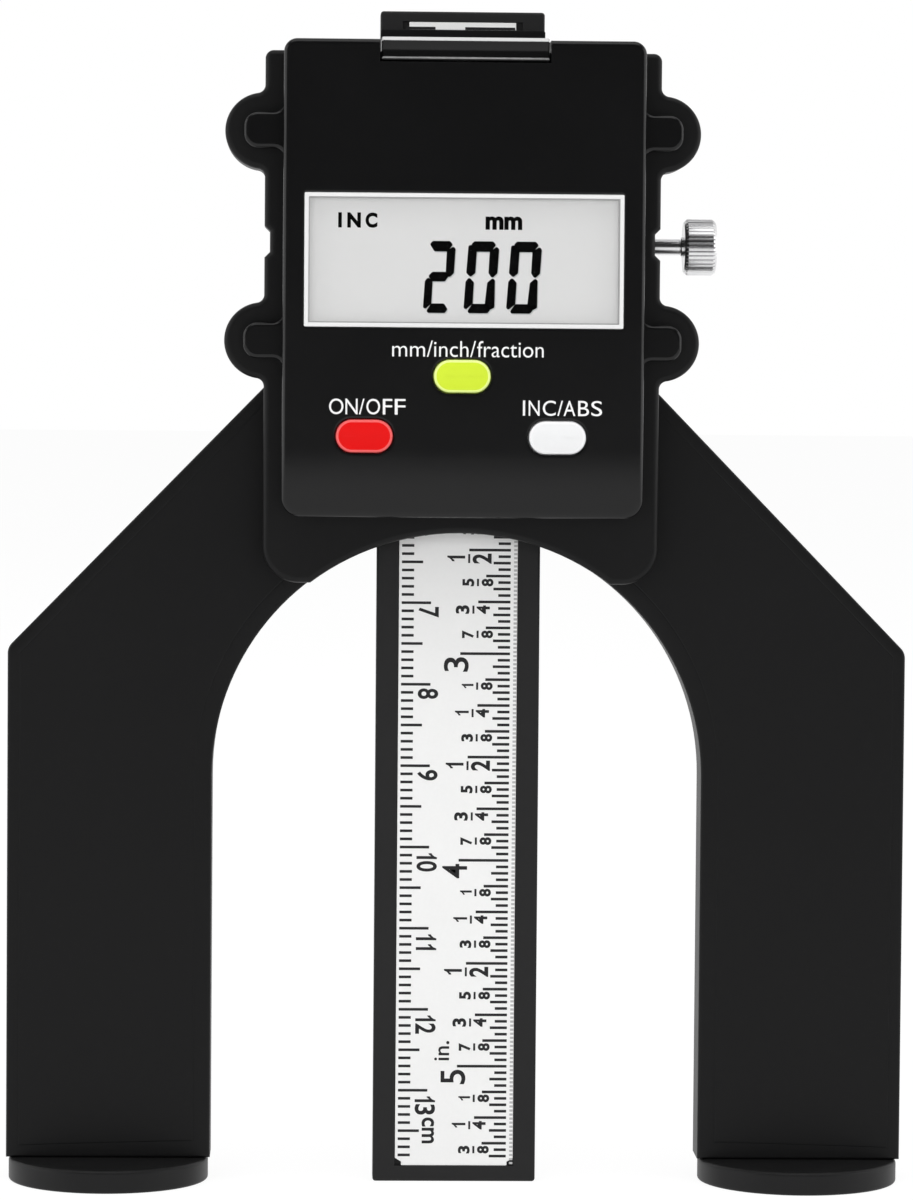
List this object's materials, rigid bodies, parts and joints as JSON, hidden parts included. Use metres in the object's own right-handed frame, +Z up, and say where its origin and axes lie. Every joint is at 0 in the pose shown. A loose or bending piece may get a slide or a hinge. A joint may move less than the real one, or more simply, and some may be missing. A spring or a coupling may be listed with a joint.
{
  "type": "digital depth gauge",
  "caption": "Digital depth gauge: an arch-shaped stand on magnetic feet with a display head, coloured buttons, a side lock screw and a sliding ruler bar with a printed scale.",
  "frame": {"origin": "the middle of the measuring bar's lower end, on the plane under both feet, midway between the centres of the feet", "axes": "+Z up along the measuring bar, +X to the right of someone facing the display, -Y out of the display"},
  "size_m": [0.11, 0.0279, 0.1433],
  "materials": {
    "black_plastic": "fine satin moulding",
    "casing_plastic": "satin moulding",
    "dark_nickel": "dark plated steel",
    "magnet": "nickel-plated magnet",
    "steel": "plain turned steel",
    "white_film": "printed white film",
    "copper_strip": "copper-clad strip",
    "clear_window": "clear cover",
    "display_glass": "grey display",
    "contact_rubber": "conductive rubber",
    "board": "green solder mask",
    "chip_resin": "black potting resin",
    "switch_plastic": "black moulding",
    "cell_can": "pressed steel can",
    "spring_bronze": "spring bronze strip",
    "brass": "turned brass",
    "nylon": "natural nylon",
    "yellow_green": "smooth coloured button",
    "red": "smooth coloured button",
    "button_white": "smooth white button"
  },
  "bodies": {
    "base": {"base_frame": "black_plastic", "rear_shell": "black_plastic", "foot_left": "dark_nickel", "foot_right": "dark_nickel", "magnet_left": "magnet", "magnet_right": "magnet", "foot_screw_left": "steel", "foot_screw_right": "steel", "front_casing": "casing_plastic", "lcd_bezel": "white_film", "window_lens": "clear_window", "lcd_panel": "display_glass", "contact_strip": "contact_rubber", "switch_unit": "switch_plastic", "switch_power": "switch_plastic", "switch_mode": "switch_plastic", "circuit_board": "board", "sensor_chip": "chip_resin", "contact_negative": "spring_bronze", "contact_positive": "spring_bronze", "lock_nut": "brass", "guide_spring": "spring_bronze", "casing_screw_1": "steel", "shell_screw_1": "steel", "casing_screw_2": "steel", "shell_screw_2": "steel", "casing_screw_3": "steel", "shell_screw_3": "steel", "casing_screw_4": "steel", "shell_screw_4": "steel"},
    "bar": {"ruler_bar": "casing_plastic", "scale_label": "white_film", "sensor_strip": "copper_strip", "bar_stop_top": "steel", "bar_stop_tip": "steel"},
    "unit_key": {"button_unit": "yellow_green"},
    "power_key": {"button_power": "red"},
    "mode_key": {"button_mode": "button_white"},
    "tray": {"battery_tray": "casing_plastic", "coin_cell": "cell_can"},
    "lock_slide": {"lock_pad": "nylon"},
    "lock_knob": {"lock_screw": "steel"}
  },
  "joints": [
    {"name": "bar_slide", "type": "slide", "parent": "base", "child": "bar", "axis": [0, 0, 1], "range_m": [0, 0.08]},
    {"name": "unit_press", "type": "slide", "parent": "base", "child": "unit_key", "axis": [0, 1, 0], "range_m": [0, 0.0006], "stiffness_N_per_m": 2500},
    {"name": "power_press", "type": "slide", "parent": "base", "child": "power_key", "axis": [0, 1, 0], "range_m": [0, 0.0006], "stiffness_N_per_m": 2500},
    {"name": "mode_press", "type": "slide", "parent": "base", "child": "mode_key", "axis": [0, 1, 0], "range_m": [0, 0.0006], "stiffness_N_per_m": 2500},
    {"name": "tray_slide", "type": "slide", "parent": "base", "child": "tray", "axis": [0, 0, 1], "range_m": [0, 0.024]},
    {"name": "lock_press", "type": "slide", "parent": "base", "child": "lock_slide", "axis": [-1, 0, 0], "range_m": [0, 0.0004]},
    {"name": "lock_turn", "type": "hinge", "parent": "lock_slide", "child": "lock_knob", "pos_m": [0.0126, -0.0005, 0.115], "axis": [-1, 0, 0], "range_deg": [0, 360]}
  ],
  "couplings": [
    {"joint": "lock_turn", "follows": "lock_press", "rad_per_m": 15707}
  ]
}
